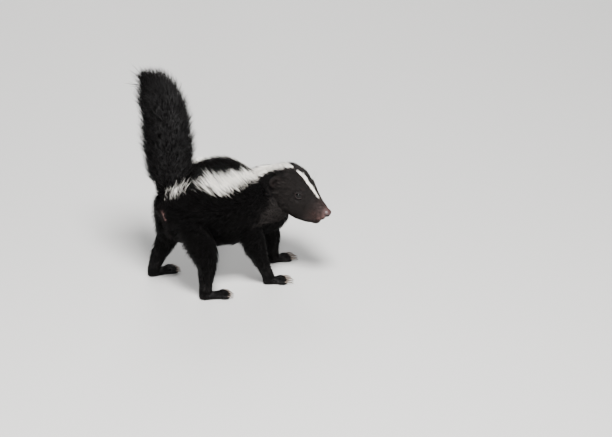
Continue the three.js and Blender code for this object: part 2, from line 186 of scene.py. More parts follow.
def spline(rows, t):
    """Catmull-Rom through rows with evenly spaced knots, at places t from 0 to 1."""
    last = len(rows) - 1
    padded = np.vstack([2 * rows[0] - rows[1], rows, 2 * rows[-1] - rows[-2]])
    place = np.clip(np.asarray(t, float) * last, 0, last - 1e-6)
    k = place.astype(int)
    f = (place - k)[..., None]
    a, b, c, d = (padded[k + i] for i in range(4))
    return 0.5 * (2 * b + (c - a) * f + (2 * a - 5 * b + 4 * c - d) * f**2
                  + (3 * b - a - 3 * c + d) * f**3)


def course(rows, t, ahead):
    """Centre, tangent, side, up and sizes at t: side is tangent x ahead, up is side x tangent."""
    at = spline(rows, t)
    step = 1e-3
    tangent = unit(spline(rows, np.clip(t + step, 0, 1))[..., :3]
                   - spline(rows, np.clip(t - step, 0, 1))[..., :3])
    side = unit(np.cross(tangent, ahead))
    return at[..., :3], tangent, side, np.cross(side, tangent), at[..., 3:]


def oval(angle, size):
    """Offsets across and up of an oval whose reach above and below differ."""
    reach = np.where(np.sin(angle) > 0, size[..., 1], size[..., 2])
    return size[..., 0] * np.cos(angle), reach * np.sin(angle)


def grid_faces(rows, columns):
    """Quads over a grid closed in its second direction."""
    i, j = np.meshgrid(np.arange(rows - 1), np.arange(columns), indexing="ij")
    k = (j + 1) % columns
    quads = np.stack([i * columns + j, i * columns + k, (i + 1) * columns + k,
                      (i + 1) * columns + j], -1)
    return quads.reshape(-1, 4)


def closed_tube(rings):
    """Vertices and triangles of a run of rings, fanned to a point at both ends."""
    rows, columns = rings.shape[:2]
    quads = grid_faces(rows, columns)
    faces = np.vstack([quads[:, [0, 1, 2]], quads[:, [0, 2, 3]]])
    j = np.arange(columns)
    k = (j + 1) % columns
    first = np.stack([k, j, np.full(columns, rows * columns)], -1)
    base = (rows - 1) * columns
    last = np.stack([base + j, base + k, np.full(columns, rows * columns + 1)], -1)
    points = np.vstack([rings.reshape(-1, 3), rings[0].mean(0), rings[-1].mean(0)])
    faces = np.vstack([faces, first, last])
    corners = points[faces]
    volume = np.einsum("ij,ij->", corners[:, 0], np.cross(corners[:, 1], corners[:, 2]))
    return points, faces if volume > 0 else faces[:, ::-1]


def joined(parts):
    """Several closed forms as one list of points and one of triangles."""
    points, faces, start = [], [], 0
    for part_points, part_faces in parts:
        points.append(part_points)
        faces.append(part_faces + start)
        start += len(part_points)
    return np.vstack(points), np.vstack(faces)


def bent_form(rows, ahead, depth, steps=60, sides=48):
    """Ovals along the spline of rows, each drawn in by depth, which may vary along it."""
    t = np.linspace(0, 1, steps)
    centre, tangent, side, up, size = course(rows, t, ahead)
    size = np.maximum(size - np.interp(t, np.linspace(0, 1, len(depth)), depth)[:, None], 1.2)
    angle = np.linspace(0, 2 * np.pi, sides, endpoint=False)
    across, rise = oval(angle[None, :], size[:, None, :])
    rings = centre[:, None] + across[..., None] * side[:, None] + rise[..., None] * up[:, None]
    return closed_tube(rings)


def head_point(along, height, right):
    """A place of the head: ahead of the nose tip, up and to the right, along the head's axes."""
    along, height, right = np.broadcast_arrays(along, height, right)
    return (NOSE_TIP + along[..., None] * AHEAD + height[..., None] * CROWN
            + right[..., None] * RIGHT)


def head_place(points):
    """The head's own coordinates of points: along, height, right."""
    rel = points - NOSE_TIP
    return rel @ AHEAD, rel @ CROWN, rel @ RIGHT


def blob(centre, axes, halves, rows=20, columns=28):
    """An ellipsoid with half sizes along three given directions."""
    a = np.linspace(0.05, np.pi - 0.05, rows)[:, None]
    b = np.linspace(0, 2 * np.pi, columns, endpoint=False)[None, :]
    along, across, rise = -np.cos(a) + 0 * b, np.sin(a) * np.cos(b), np.sin(a) * np.sin(b)
    rings = (centre + halves[0] * along[..., None] * axes[0] + halves[1] * across[..., None]
             * axes[1] + halves[2] * rise[..., None] * axes[2])
    return closed_tube(rings)


def head_form():
    """The head's ovals along its own axis, drawn in by the coat's depth; they are a little squared,
    by (|cos|^p + |sin|^p)^(-1/p), so brow and cheeks are full."""
    rows = np.column_stack([HEAD[:, 0], (HEAD[:, 1] + HEAD[:, 2]) / 2, HEAD[:, 3],
                            (HEAD[:, 1] - HEAD[:, 2]) / 2, HEAD[:, 4]])
    at = spline(rows, np.linspace(0, 1, 70))
    angle = np.linspace(0, 2 * np.pi, 64, endpoint=False)[None, :]
    wide = (at[:, 2] - at[:, 4])[:, None]
    tall = (at[:, 3] - at[:, 4])[:, None]
    power = np.where(np.sin(angle) > 0, 2.6, 2.15)
    full = (np.abs(np.cos(angle)) ** power + np.abs(np.sin(angle)) ** power) ** (-1 / power)
    full = 1 + (full - 1) * smooth(-12, -26, at[:, :1])
    rings = head_point(at[:, :1] + 0 * angle, at[:, 1:2] + full * tall * np.sin(angle),
                       full * wide * np.cos(angle))
    return closed_tube(rings)


# --- Skin ---------------------------------------------------------------------------------------
# One unbroken skin of bare flesh over head, ears, neck, body, tail, legs and feet. Its forms, with
# brow, chin and whisker pads, are fused by a voxel remesh and smoothed. Then the face gets finer
# faces, eye sockets with lids and the line of the lips.
SKIN_VOXEL = 0.00112
EYE_RADIUS = 4.0
EYE_AT = (-32.6, 6.8, 10.9)
VENT = np.array([-52.0, -7.8, 75.5])
EAR_AT = {1: head_point(-55.5, 7.8, 16.6), -1: head_point(-55.5, 5.6, -16.4)}


def ear_gap(points):
    """Distance of each point from the middle of the nearer ear."""
    return np.minimum(*(np.linalg.norm(points - EAR_AT[hand], axis=1) for hand in (-1, 1)))


def foot_axes(heel, heading):
    """A foot's heel on the floor, the way it points and its side."""
    ahead = np.array([math.cos(heading), math.sin(heading), 0])
    side = np.array([math.sin(heading), -math.cos(heading), 0])
    return np.array([heel[0], heel[1], 0.0]), ahead, side


def toes(long):
    """For each of five toes, its place across the foot, -1 to 1, and its reach ahead."""
    return [((i - 2) / 2, long * (1.02 - 0.09 * ((i - 2) / 2) ** 2)) for i in range(5)]


def foot_forms(heel, heading, long, wide):
    """Sole as ovals from heel to ball, then five toe blobs splayed across its front."""
    base, ahead, side = foot_axes(heel, heading)
    share = np.array([0, 0.15, 0.5, 0.8, 0.95])[:, None]
    breadth = wide * np.array([0.5, 0.8, 0.85, 1, 0.8])[:, None] - 0.8
    height = 4.6 - 2.2 * share
    angle = np.linspace(0, 2 * np.pi, 24, endpoint=False)[None, :]
    rise = np.where(np.sin(angle) > 0, height - 0.6, 3.4) * np.sin(angle)
    rings = (base + (share * long)[..., None] * ahead + (breadth * np.cos(angle))[..., None] * side
             + (height * 0.8 + rise)[..., None] * UP)
    forms = [closed_tube(rings)]
    for across, reach in toes(long):
        low = base + (reach - 5.5) * ahead + across * wide * 0.8 * side + 2.5 * UP
        tip = base + (reach + 1.5) * ahead + across * wide * 0.98 * side + 2.0 * UP
        axis = unit(tip - low)
        half = np.linalg.norm(tip - low) / 2 + 1.2
        forms.append(blob((low + tip) / 2, (axis, side, UP), (half, 1.6, 1.9), 12, 14))
    return forms


def ear_out(hand):
    """The way an ear's cup opens: sideways, forward and a little up."""
    return unit(hand * RIGHT + 0.55 * AHEAD + 0.1 * CROWN)


def ear_cup(hand):
    """A round cup: a profile turned about the ear's axis, whose rim turns in to a deeper inside."""
    out = ear_out(hand)
    wide = unit(np.cross(CROWN, out))
    tall = np.cross(out, wide)
    centre = EAR_AT[hand]
    profile = np.array([[-3.2, 0.3], [-2.6, 2.6], [-1.2, 4.2], [0.6, 4.75], [2.1, 4.7],
                        [2.75, 4.35], [2.6, 3.9], [1.4, 3.6], [0.0, 3.2], [-0.9, 2.2],
                        [-1.3, 0.3]])
    t = np.linspace(0, 1, 60)
    shape = spline(profile, t)
    angle = np.linspace(0, 2 * np.pi, 48, endpoint=False)[None, :]
    radius = shape[:, 1:2]
    rings = (centre + shape[:, :1, None] * out + (radius * np.cos(angle))[..., None] * wide
             + (1.2 * radius * np.sin(angle))[..., None] * tall)
    return closed_tube(rings)


TORSO_DEPTH = [2, 3.5, 4.5, 5, 5, 4.5, 3.5, 3, 2]
LEG_DEPTH = [3, 2.6, 2, 1.4, 0.9, 0.7, 0.7]
trunk_rows = TORSO.copy()
trunk_rows[:3, 0] += [5.5, 4.0, 1.0]
forms = [bent_form(trunk_rows, UP, TORSO_DEPTH), bent_form(NECK, UP, [3, 3.2, 3.2, 3, 3, 3])]
tail_line = np.vstack([TAIL[:6, :3], [-56, 0, 200], [-58.5, 0, 205]]) + [2.0, 0, 0]
tail_flesh = np.column_stack([tail_line, *[[7, 8, 8.2, 8, 7, 5.6, 4.2, 2.6]] * 3])
forms.append(bent_form(tail_flesh, -FORWARD, [0, 0]))
for name, rows in LEGS.items():
    forms.append(bent_form(rows, FORWARD, LEG_DEPTH, 40, 32))
    forms += foot_forms(*FEET[name][:4])
forms.append(head_form())
for hand in (-1, 1):
    forms.append(ear_cup(hand))
    forms.append(blob(head_point(-10.5, -5.6, 3.9 * hand), HEAD_AXES, (6.2, 4.4, 4.6)))
    forms.append(blob(head_point(-32, 8.4, 9.2 * hand), HEAD_AXES, (6.5, 4.2, 3.0)))
forms.append(blob(head_point(-13.5, -13.2, 0), HEAD_AXES, (7.5, 5.8, 4.6)))

points, faces = joined(forms)
points[:, 2] = np.maximum(points[:, 2], 0.0)


def mesh_from(name, verts_mm, triangles, attributes=()):
    """A mesh object from body-frame points in mm, triangles and named point values."""
    mesh = bpy.data.meshes.new(name)
    mesh.vertices.add(len(verts_mm))
    mesh.vertices.foreach_set("co", ((verts_mm + SHIFT) / 1000).astype(np.float32).ravel())
    mesh.loops.add(triangles.size)
    mesh.loops.foreach_set("vertex_index", triangles.astype(np.int32).ravel())
    mesh.polygons.add(len(triangles))
    mesh.polygons.foreach_set("loop_start", np.arange(0, triangles.size, 3, dtype=np.int32))
    mesh.polygons.foreach_set("use_smooth", np.ones(len(triangles), bool))
    for key, values in dict(attributes).items():
        mesh.attributes.new(key, "FLOAT", "POINT").data.foreach_set(
            "value", np.asarray(values, np.float32))
    mesh.update()
    mesh.validate()
    made = bpy.data.objects.new(name, mesh)
    bpy.context.scene.collection.objects.link(made)
    return made


rough = mesh_from("rough_body", points, faces)
remesh = rough.modifiers.new("fuse", "REMESH")
remesh.mode = "VOXEL"
remesh.voxel_size = SKIN_VOXEL
calm = rough.modifiers.new("calm", "SMOOTH")
calm.factor = 0.5
calm.iterations = 4
depsgraph = bpy.context.evaluated_depsgraph_get()
skin_mesh = bpy.data.meshes.new_from_object(rough.evaluated_get(depsgraph))
bpy.data.objects.remove(rough)

# The face gets finer faces, so lids and lips have something to be shaped from.
work = bmesh.new()
work.from_mesh(skin_mesh)
for span in (1.0, 0.82):
    work.verts.ensure_lookup_table()
    co = np.array([v.co for v in work.verts]) * 1000 - SHIFT
    along, height, right = head_place(co)
    fine = (along > -24 * span) & (np.abs(right) < 16) & (height < 4)
    fine |= (ear_gap(co) < 8) & (span == 1.0)
    for hand in (-1, 1):
        away = np.linalg.norm(co - head_point(EYE_AT[0], EYE_AT[1], 14.0 * hand), axis=1)
        fine |= away < 7.5 * span
    edges = [e for e in work.edges if fine[e.verts[0].index] and fine[e.verts[1].index]]
    bmesh.ops.subdivide_edges(work, edges=edges, cuts=1, use_grid_fill=True)
bmesh.ops.triangulate(work, faces=work.faces)
work.to_mesh(skin_mesh)
work.free()
count = len(skin_mesh.vertices)
skin_points = np.empty(count * 3, np.float32)
skin_mesh.vertices.foreach_get("co", skin_points)
skin_points = skin_points.reshape(-1, 3).astype(float) * 1000 - SHIFT
skin_faces = np.empty(len(skin_mesh.polygons) * 3, np.int32)
skin_mesh.polygons.foreach_get("vertices", skin_faces)
skin_faces = skin_faces.reshape(-1, 3)


def eye_frame(hand):
    """Centre and axes of an eye: out of the head, along the lids, and up."""
    out = unit(0.9 * hand * RIGHT + 0.38 * AHEAD + 0.2 * CROWN)
    along = unit(np.cross(CROWN, out))
    return head_point(EYE_AT[0], EYE_AT[1], EYE_AT[2] * hand), out, along, np.cross(out, along)


def work_eye(points, hand):
    """Inside an almond the skin sinks behind the eyeball; round it it rides 0.45 mm over the
    ball as a lid, with a raised rim, and fades into the face within a few mm."""
    centre, out, along, tall = eye_frame(hand)
    rel = points - centre
    a, b, depth = rel @ along, rel @ tall, rel @ out
    front = depth > -1.5
    gape = np.sqrt((a / 3.1) ** 2 + ((b + 0.05 * a) / np.where(b > 0, 2.35, 2.05)) ** 2)
    radius = np.hypot(a, b)
    near = front & (radius < 9)
    ball = np.sqrt(np.maximum((EYE_RADIUS + 0.45) ** 2 - np.minimum(radius, 4.2) ** 2, 0))
    rim = 0.45 * np.exp(-((gape - 1.22) / 0.16) ** 2)
    crease = 0.25 * np.exp(-((gape - 1.62) / 0.2) ** 2)
    lid = ball + rim - crease
    cover = 1 - smooth(3.9, 7.0, radius)
    shaped = depth * (1 - cover) + lid * cover
    hole = 1 - smooth(0.93, 1.04, gape)
    shaped = shaped * (1 - hole) + np.minimum(shaped, 0.4) * hole
    move = np.where(near, shaped - depth, 0)
    return points + move[:, None] * out


def lip_line(along):
    """Height of the line between the lips along the muzzle."""
    return -11.6 + 0.028 * (along + 20) ** 2


for hand in (-1, 1):
    skin_points = work_eye(skin_points, hand)

# The lip line is a groove along the muzzle; the lips swell a little on both sides of it.
along, height, right = head_place(skin_points)
across = height - lip_line(along)
muzzle = smooth(-24, -20, along) * (1 - smooth(-2.4, -0.6, along))
groove = -0.75 * np.exp(-((across / 0.42) ** 2))
groove += 0.3 * np.exp(-(((np.abs(across) - 1.2) / 0.7) ** 2))
axis_height = np.interp(along, HEAD[:, 0], (HEAD[:, 1] + HEAD[:, 2]) / 2)
outward = unit((height - axis_height)[:, None] * CROWN + right[:, None] * RIGHT)
skin_points += (muzzle * groove)[:, None] * outward
skin_points[:, 2] = np.maximum(skin_points[:, 2], 0.0)

# --- Markings -----------------------------------------------------------------------------------
# Where the coat is white: a cap from the crown down the nape, which parts into two bands along the
# back, a thin blaze down the face, and a pale tuft on each side of the tail root. Where the skin is
# thinly haired or bare: muzzle, lips, lids and the patch under the tail.


def form_place(points, rows, ahead, samples=80):
    """For each point, the nearest place along a bent form: t, angle about it and the distance
    from its line as a share of the oval's own reach that way."""
    t = np.linspace(0, 1, samples)
    centre, tangent, side, up, size = course(rows, t, ahead)
    nearest = np.empty(len(points), int)
    for low in range(0, len(points), 20000):
        part = points[low:low + 20000]
        gap = ((part[:, None, :] - centre[None]) ** 2).sum(-1)
        nearest[low:low + 20000] = gap.argmin(1)
    rel = points - centre[nearest]
    x = np.einsum("ij,ij->i", rel, side[nearest])
    y = np.einsum("ij,ij->i", rel, up[nearest])
    reach = np.where(y > 0, size[nearest, 1], size[nearest, 2])
    share = np.hypot(x / size[nearest, 0], y / reach)
    past = np.einsum("ij,ij->i", rel, tangent[nearest])
    share = np.hypot(share, past / size[nearest, 0] * ((nearest == 0) | (nearest == samples - 1)))
    return t[nearest], np.arctan2(y, x), share


def in_head(points):
    """How far a point belongs to the head, from 0 to 1."""
    along, height, right = head_place(points)
    middle = np.interp(along, HEAD[:, 0], (HEAD[:, 1] + HEAD[:, 2]) / 2)
    tall = np.interp(along, HEAD[:, 0], (HEAD[:, 1] - HEAD[:, 2]) / 2)
    wide = np.interp(along, HEAD[:, 0], HEAD[:, 3])
    share = np.hypot(right / wide, (height - middle) / tall)
    close = (1 - smooth(1.04, 1.16, share)) * smooth(-70, -62, along)
    close = np.maximum(close, smooth(-54, -44, along) * (height > -27))
    return np.maximum(close, 1 - smooth(6.5, 8, ear_gap(points)))


def white_share(points):
    """1 where the coat is white, with soft and slightly uneven edges: blaze and cap by the distance
    from the head's middle plane, the bands by the angle from straight up about the torso's line."""
    x, y, z = points.T
    along, height, right = head_place(points)
    uneven = 0.9 * np.sin(1.7 * x + 2.3 * z) + 0.7 * np.sin(3.1 * y - 1.3 * x)
    blaze_half = np.interp(along, [-44, -41, -34, -24, -17.5, -15.5], [0, 1.8, 2.0, 1.8, 1.1, 0])
    blaze = smooth(0.35, -0.35, np.abs(right) - blaze_half) * (height > 0)
    blaze = blaze * smooth(-44.5, -43, along) * smooth(-15, -16.5, along)
    cap_half = np.interp(along, [-75, -64, -57, -53, -49, -47], [10.5, 10.6, 9, 5.6, 1.6, 0.6])
    cap = smooth(1.0, -1.0, np.abs(right + 1.9) - cap_half + 0.5 * uneven) * (height > 0)
    cap = cap * (along < -47) * (along > -75)
    middle = np.interp(x, TORSO[:, 0], TORSO[:, 2])
    across = np.abs(y - np.interp(x, [42, 54, 62, 68], [1, -2.5, -10.5, -16.5]))
    fall = np.degrees(np.arctan2(across, z - middle))
    low = np.interp(x, [-30, -20, -12, 0, 13, 24, 33, 42, 52],
                    [44, 53, 57, 60, 56, 45, 30, 20, 17])
    high = np.interp(x, [-30, -20, 0, 13, 24, 34, 40, 44], [43, 42, 39, 36, 29, 15, 3, -5])
    band = smooth(2, -2, fall - low + 1.6 * uneven) * smooth(-2, 2, fall - high + 1.2 * uneven)
    band = band * smooth(-24, 0, x + 1.5 * uneven) ** 1.5 * (z > 60) * (x < 74)
    return np.clip(np.where(in_head(points) > 0.5, np.maximum(blaze, cap), band), 0, 1)


def band_flow(points):
    """How far the hair streams up and back, as it does in the white bands and just below them."""
    x, y, z = points.T
    fall = np.degrees(np.arctan2(np.abs(y), z - np.interp(x, TORSO[:, 0], TORSO[:, 2])))
    low = np.interp(x, [-30, 0, 13, 24, 33], [50, 56, 48, 36, 25])
    high = np.interp(x, [-30, 0, 24, 40], [20, 20, 12, 0])
    flow = smooth(26, 8, fall - low) * smooth(-6, 8, fall - high) * (z > 60)
    return flow * smooth(-40, -20, x) * (1 - smooth(26, 38, x))


def pale_share(points):
    """Chance of a single white hair: on the rump's sides and, thicker, beside the tail root."""
    x, y, z = points.T
    rump = np.exp(-(((x + 33) / 5) ** 2 + ((z - 101) / 6) ** 2 + ((np.abs(y) - 18) / 6) ** 2))
    root = np.exp(-((x + 45.5) / 4) ** 2 - ((z - 98) / 5) ** 2 - ((np.abs(y) - 13) / 4.5) ** 2)
    return (0.3 * rump + 1.1 * root) * (z > 93)


def near_vent(points, halves):
    """exp(-r^2) about the patch under the tail, r measured in the given half sizes."""
    return np.exp(-(((points - VENT) / halves) ** 2).sum(1))


def bare_share(points):
    """How bare the skin is, and so how brown or pink: muzzle, whisker pads, lips, lids, a spot over
    the eye, ears and the patch under the tail. The faint tint at the ears is partly their own
    colour and partly a painted sheen on their rims."""
    along, height, right = head_place(points)
    head = in_head(points)
    muzzle = smooth(-24, -7, along) * head
    bare = 0.15 * muzzle + 0.18 * smooth(-9, -3, along) * head
    pads = ((along + 11) / 6) ** 2 + ((height + 5.5) / 4) ** 2
    bare = bare + 0.22 * np.exp(-pads) * head * (np.abs(right) > 3)
    from_lip = height - lip_line(along)
    bare = bare + 0.28 * np.exp(-((from_lip / 1.5) ** 2)) * smooth(-22, -14, along) * head
    for hand in (-1, 1):
        centre, out, line, tall = eye_frame(hand)
        rel = points - centre
        gape = np.hypot((rel @ line) / 3.1, (rel @ tall) / 2.2)
        bare = np.maximum(bare, 0.06 * np.exp(-(((gape - 1.1) / 0.2) ** 2)) * (rel @ out > 0))
        spot = points - head_point(-30.5, 14.2, 10.5 * hand)
        bare = np.maximum(bare, 0.6 * np.exp(-((np.linalg.norm(spot, axis=1) / 1.5) ** 2)))
    # Ears: a faint brown, partly their own colour and partly a painted sheen on the rims.
    bare = np.maximum(bare, 0.05 * smooth(6.5, 5, ear_gap(points)))
    return np.clip(np.maximum(bare, 2.2 * near_vent(points, [9, 4.5, 7])), 0, 1)


# --- Skin surface -------------------------------------------------------------------------------
# The worked skin as a mesh that carries its markings, and its material: black under the coat, pale
# under the white hair and brown to pink where it is bare, uneven in colour and finely pored.
skin = mesh_from("skin", skin_points, skin_faces, {
    "white": white_share(skin_points),
    "bare": bare_share(skin_points),
    "pink": near_vent(skin_points, [9, 4.2, 6.4]),
})
bpy.data.meshes.remove(skin_mesh)


def sockets(group, inputs=(), outputs=()):
    for name, kind, value in inputs:
        group.interface.new_socket(name, in_out="INPUT", socket_type=kind).default_value = value
    for name, kind in outputs:
        group.interface.new_socket(name, in_out="OUTPUT", socket_type=kind)


def add(tree, kind, at, **values):
    """A node with its settings and, by socket name or number, its inputs: values or sockets."""
    node = tree.nodes.new(kind)
    node.location = at
    for key, value in values.items():
        if not key.startswith("in_"):
            setattr(node, key, value)
            continue
        socket = node.inputs[int(key[3:]) if key[3:].isdigit() else key[3:].replace("_", " ")]
        if isinstance(value, bpy.types.NodeSocket):
            tree.links.new(value, socket)
        else:
            socket.default_value = value
    return node


# Uneven colour, shared by every piece: two scales of noise that darken and lighten a colour, which
# is multiplied by 1 + amount x (coarse + fine - 1).
mottle = bpy.data.node_groups.new("mottle", "ShaderNodeTree")
sockets(mottle, [("Color", "NodeSocketColor", (0.5, 0.5, 0.5, 1)),
                 ("Coarse", "NodeSocketFloat", 80.0), ("Fine", "NodeSocketFloat", 600.0),
                 ("Amount", "NodeSocketFloat", 0.3)],
        [("Color", "NodeSocketColor"), ("Fine value", "NodeSocketFloat")])
given = add(mottle, "NodeGroupInput", (-900, -300)).outputs
place = add(mottle, "ShaderNodeTexCoord", (-900, 0)).outputs["Object"]
coarse = add(mottle, "ShaderNodeTexNoise", (-650, 150), in_Vector=place, in_Scale=given["Coarse"],
             in_Detail=3.0)
fine = add(mottle, "ShaderNodeTexNoise", (-650, -150), in_Vector=place, in_Scale=given["Fine"],
           in_Detail=4.0)
both = add(mottle, "ShaderNodeMath", (-420, 0), operation="ADD", in_0=coarse.outputs[0],
           in_1=fine.outputs[0])
swing = add(mottle, "ShaderNodeMath", (-260, 0), operation="SUBTRACT", in_0=both.outputs[0],
            in_1=1.0)
scaled = add(mottle, "ShaderNodeMath", (-100, 0), operation="MULTIPLY", in_0=swing.outputs[0],
             in_1=given["Amount"])
level = add(mottle, "ShaderNodeMath", (60, 0), operation="ADD", in_0=scaled.outputs[0], in_1=1.0)
tint = add(mottle, "ShaderNodeVectorMath", (240, 0), operation="SCALE", in_0=given["Color"],
           in_Scale=level.outputs[0])
add(mottle, "NodeGroupOutput", (420, 0), in_Color=tint.outputs[0], in_Fine_value=fine.outputs[0])


def new_material(name, roughness, specular=0.5, **uniform):
    """A material with its Principled shader; uniform values sit on the shader's own sockets."""
    material = bpy.data.materials.new(name)
    material.use_nodes = True
    shader = material.node_tree.nodes["Principled BSDF"]
    shader.inputs["Roughness"].default_value = roughness
    shader.inputs["Specular IOR Level"].default_value = specular
    for key, value in uniform.items():
        shader.inputs[key.replace("_", " ")].default_value = value
    return material, material.node_tree, shader


def mottled(tree, color, coarse_scale, fine_scale, amount, at=(-500, 200)):
    """A mottle group placed in a material; color is a value or a socket to link from."""
    return add(tree, "ShaderNodeGroup", at, node_tree=mottle, in_Color=color,
               in_Coarse=coarse_scale, in_Fine=fine_scale, in_Amount=amount)


def attribute(tree, name, at):
    """The output of a node that reads one of the mesh's named values."""
    return add(tree, "ShaderNodeAttribute", at, attribute_name=name).outputs["Fac"]


def mix_color(tree, factor, a, b, at):
    """Mixes two colours by a factor; each may be a value or a socket."""
    return add(tree, "ShaderNodeMix", at, data_type="RGBA", in_0=factor, in_6=a, in_7=b).outputs[2]


def cells(tree, scale):
    """Distance from the middle of the nearest cell in a fine pattern over the body."""
    place = add(tree, "ShaderNodeTexCoord", (-800, -300)).outputs["Object"]
    return add(tree, "ShaderNodeTexVoronoi", (-600, -300), in_Scale=scale,
               in_Vector=place).outputs["Distance"]


def surface(tree, shader, color, height=None, strength=0.0, distance=0.0):
    """Leads a colour and, if given, a height through a bump node to the shader."""
    tree.links.new(color, shader.inputs["Base Color"])
    if height is not None:
        bump = add(tree, "ShaderNodeBump", (-250, -250), in_Strength=strength,
                   in_Distance=distance, in_Height=height)
        tree.links.new(bump.outputs["Normal"], shader.inputs["Normal"])


skin_material, tree, shader = new_material("skin", 0.62, 0.22)
base = mix_color(tree, attribute(tree, "white", (-1300, 0)),
                 (0.006, 0.005, 0.0048, 1), (0.62, 0.57, 0.5, 1), (-1050, 100))
bare_color = mix_color(tree, attribute(tree, "bare", (-1300, -250)),
                       base, (0.17, 0.088, 0.08, 1), (-850, 100))
pink_color = mix_color(tree, attribute(tree, "pink", (-1300, -450)),
                       bare_color, (0.5, 0.25, 0.23, 1), (-720, 250))
spotted = mottled(tree, pink_color, 160.0, 1400.0, 0.75, (-600, 100))
surface(tree, shader, spotted.outputs["Color"], cells(tree, 1500.0), 0.5, 0.00035)
skin.data.materials.append(skin_material)
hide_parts("head", "neck", "torso", "tail", "leg_front_right", "leg_front_left",
            "leg_hind_right", "leg_hind_left", "ear_right", "ear_left")
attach(skin, "root")

# --- Eyes ---------------------------------------------------------------------------------------
# Near-black, wet eyeballs set in the sockets under the skin's lids: each a sphere that is slightly
# flattened from front to back, made as rings about the eye's axis.
eye_material, tree, shader = new_material("eye", 0.03, 0.2)
iris = mottled(tree, (0.001, 0.0008, 0.0007, 1), 500.0, 2500.0, 0.6)
surface(tree, shader, iris.outputs["Color"])
for name, hand in (("eye_right", 1), ("eye_left", -1)):
    centre, out, line, tall = eye_frame(hand)
    a = np.linspace(0.03, np.pi - 0.03, 40)[:, None]
    b = np.linspace(0, 2 * np.pi, 56, endpoint=False)[None, :]
    wide = EYE_RADIUS + 0.05
    rings = centre + ((0.35 - (EYE_RADIUS - 0.35) * np.cos(a) + 0 * b)[..., None] * out
                      + (wide * np.sin(a) * np.cos(b))[..., None] * line
                      + (wide * np.sin(a) * np.sin(b))[..., None] * tall)
    eyeball = mesh_from(name + "_ball", *closed_tube(rings))
    eyeball.data.materials.append(eye_material)
    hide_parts(name)
    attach(eyeball, "root")

# --- Nose ---------------------------------------------------------------------------------------
# A damp, pebbled, brownish pink nose pad: a broad, squared ellipsoid with two nostrils pressed in,
# each a pit that trails outwards in a slit, and a shallow groove down its middle; pits and groove
# carry painted shade.
a = np.linspace(0.02, np.pi - 0.02, 110)[:, None]
b = np.linspace(0, 2 * np.pi, 160, endpoint=False)[None, :]
direction = np.stack([-np.cos(a) + 0 * b, np.sin(a) * np.cos(b), np.sin(a) * np.sin(b)], -1)
halves = np.array([4.2, 4.7, 3.7])
square = (np.abs(direction) ** 2.5).sum(-1, keepdims=True) ** (-1 / 2.5)
local = direction * halves * square * 0.96
local[..., 2] -= 0.035 * (local[..., 1] ** 2) * np.sign(local[..., 2] + 0.2)
press = np.zeros(local.shape[:2])
for hand in (-1, 1):
    u = (local[..., 1] * hand - 3.0) / 1.45
    v = (local[..., 2] + 0.6 + 0.22 * u) / 1.1
    press += 2.0 * np.exp(-(u**2 + v**2) ** 1.4) * (direction[..., 0] > -0.1)
    tail_u = (local[..., 1] * hand - 4.2) / 1.0
    tail_v = (local[..., 2] + 1.35) / 0.42
    press += 1.0 * np.exp(-(tail_u**2 + tail_v**2)) * (direction[..., 0] > -0.6)
press += 0.32 * np.exp(-((local[..., 1] / 0.35) ** 2)) * (direction[..., 0] > 0.2) * (
    local[..., 2] < 1.4)
local = local - press[..., None] * direction
nose_rings = NOSE_TIP - 4.5 * AHEAD - 0.5 * CROWN + local @ np.stack(HEAD_AXES)
nose_points, nose_faces = closed_tube(nose_rings)
# The deeper the pad is pressed in, in the nostrils and the groove, the darker its colour: painted
# shade.
dark = np.concatenate([np.clip(press / 0.8, 0, 1).ravel(), [0, 0]])
nose_pad = mesh_from("nose_pad", nose_points, nose_faces, {"pit_shade": dark})
nose_material, tree, shader = new_material("nose", 0.42, 0.3, Coat_Weight=0.1,
                                           Coat_Roughness=0.3)
tinted = mottled(tree, (0.046, 0.023, 0.022, 1), 260.0, 1300.0, 0.6, (-900, 200))
pits_in_shade = mix_color(tree, attribute(tree, "pit_shade", (-900, -50)),
                    tinted.outputs["Color"], (0.006, 0.003, 0.003, 1), (-400, 200))
surface(tree, shader, pits_in_shade, cells(tree, 2300.0), 0.6, 0.0002)
nose_pad.data.materials.append(nose_material)
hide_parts("nose")
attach(nose_pad, "root")

# --- Claws --------------------------------------------------------------------------------------
# Twenty claws of brown horn, short and sturdy behind, long for digging in front: each a cone that
# curves down from the end of its toe and comes to a blunt point.
claw_forms = []
for heel, heading, long, wide, claw in FEET.values():
    base, ahead, side = foot_axes(heel, heading)
    for i, (across, reach) in enumerate(toes(long)):
        size = claw * (0.94 + 0.06 * math.cos(3 * i)) + 1.6
        root = base + reach * ahead + across * wide * 0.95 * side + 2.5 * UP
        t = np.linspace(0, 1, 12)[:, None]
        ring = np.linspace(0, 2 * np.pi, 12, endpoint=False)[None, :]
        line = (root + (size * np.sin(1.15 * t) / math.sin(1.15))[..., None] * ahead
                + (1.3 * t - 3.1 * t**2)[..., None] * UP + (0.25 * across * t**2)[..., None] * side)
        thick = np.maximum(1 - 0.86 * t**1.2, 0.1)
        rings = (line + (0.72 * thick * np.cos(ring))[..., None] * side
                 + (0.95 * thick * np.sin(ring))[..., None] * UP)
        rings[..., 2] = np.maximum(rings[..., 2], 0.12)
        claw_forms.append(closed_tube(rings))
claws = mesh_from("claws", *joined(claw_forms))
claw_material, tree, shader = new_material("claw_horn", 0.33, 0.5)
horn = mottled(tree, (0.10, 0.075, 0.058, 1), 220.0, 900.0, 0.7)
surface(tree, shader, horn.outputs["Color"], horn.outputs["Fine value"], 0.25, 0.0002)
claws.data.materials.append(claw_material)
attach(claws, "root")

